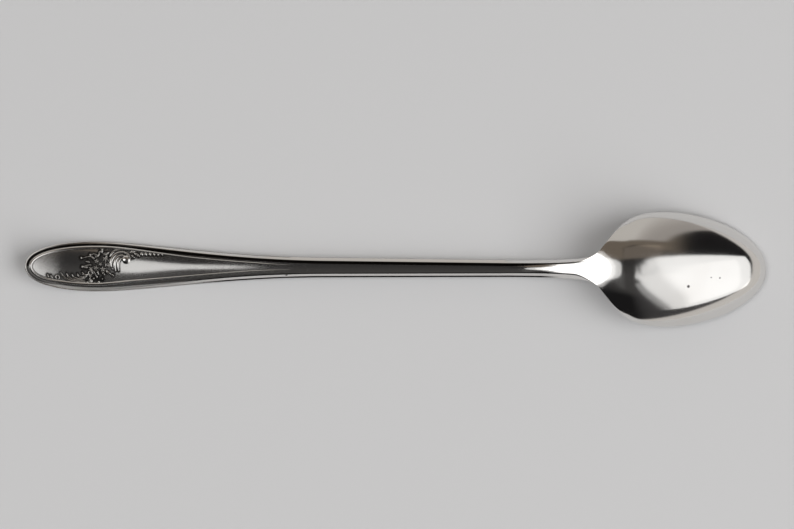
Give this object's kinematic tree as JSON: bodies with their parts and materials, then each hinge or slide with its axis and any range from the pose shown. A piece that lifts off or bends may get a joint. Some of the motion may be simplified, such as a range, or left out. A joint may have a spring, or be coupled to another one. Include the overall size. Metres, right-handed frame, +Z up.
{
  "type": "iced tea spoon",
  "caption": "Long-handled silver-plated iced tea spoon with a pointed oval bowl, slim bevelled stem and a bordered handle with a scroll and blossom spray, lying face down.",
  "frame": {"origin": "on the table, under the middle of the spoon's length and width", "axes": "+X from the handle end to the bowl tip, +Y across the spoon, +Z up, with the back of the spoon on top"},
  "size_m": [0.1904, 0.0294, 0.0116],
  "materials": {
    "silver": "polished",
    "old_silver": "polished, dark in the recesses"
  },
  "bodies": {
    "root": {"bowl": "silver", "neck": "silver", "stem": "silver", "handle": "silver", "back_rim": "silver", "back_thread": "silver", "front_rim": "silver", "front_thread": "silver", "back_scroll": "old_silver", "back_scroll_ball": "old_silver", "back_scroll_leaves": "old_silver", "back_bead_row": "old_silver", "back_blossoms": "old_silver", "back_stalks": "old_silver", "back_buds": "old_silver", "back_leaf_fan": "old_silver", "back_end_scroll": "old_silver", "front_scroll": "old_silver", "front_blossoms": "old_silver", "front_leaf_fan": "old_silver"}
  },
  "joints": []
}
